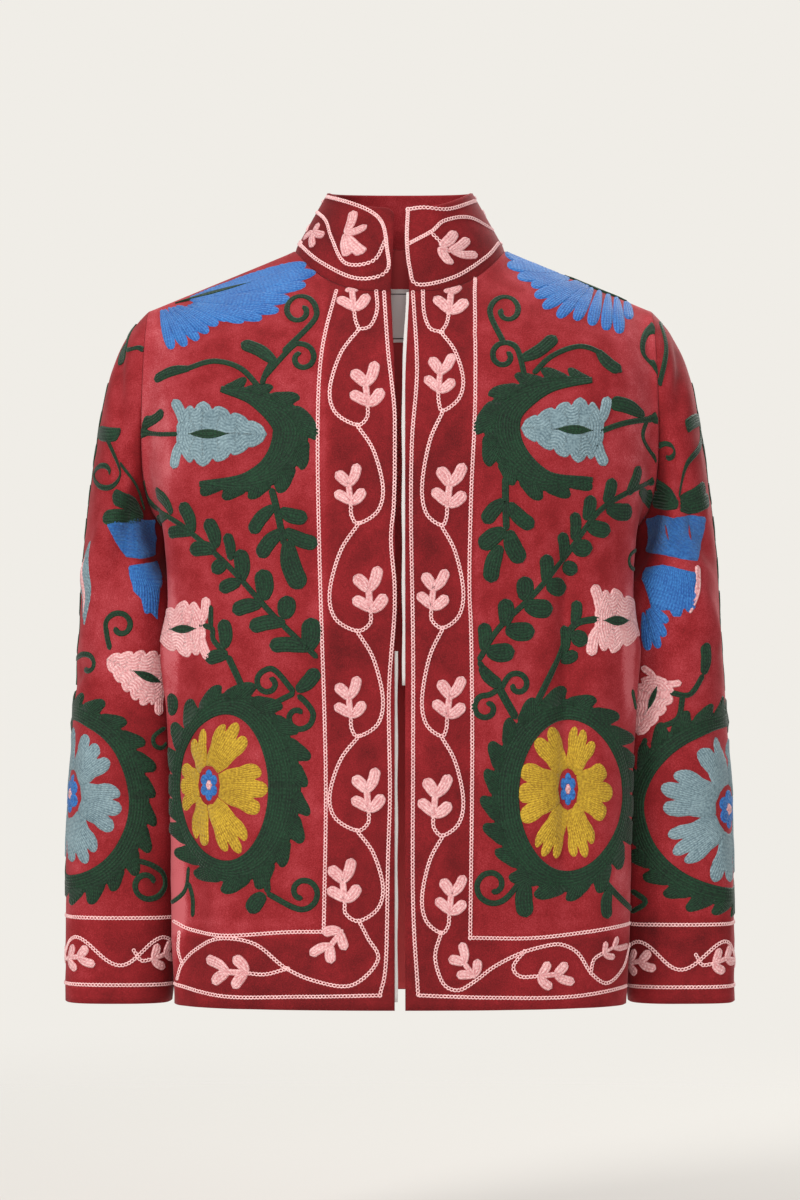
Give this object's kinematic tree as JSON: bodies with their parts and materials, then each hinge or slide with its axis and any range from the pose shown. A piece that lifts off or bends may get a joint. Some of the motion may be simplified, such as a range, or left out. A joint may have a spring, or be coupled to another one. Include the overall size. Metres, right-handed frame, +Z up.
{
  "type": "embroidered velvet jacket",
  "caption": "Straight open-front velvet jacket with a stand collar and long set-in sleeves, embroidered all over, in its worn form with no wearer.",
  "frame": {"origin": "middle of the shoulders, level with the two points where the shoulder seams meet the collar", "axes": "+Z up, -Y the way the front faces, +X towards the wearer's left"},
  "size_m": [0.599, 0.2627, 0.723],
  "materials": {
    "velvet": "cotton velvet with chain-stitch embroidery",
    "label": "plain woven"
  },
  "bodies": {
    "root": {"back": "velvet", "left_front": "velvet", "right_front": "velvet", "left_sleeve": "velvet", "right_sleeve": "velvet", "collar": "velvet", "neck_label": "label"}
  },
  "joints": []
}
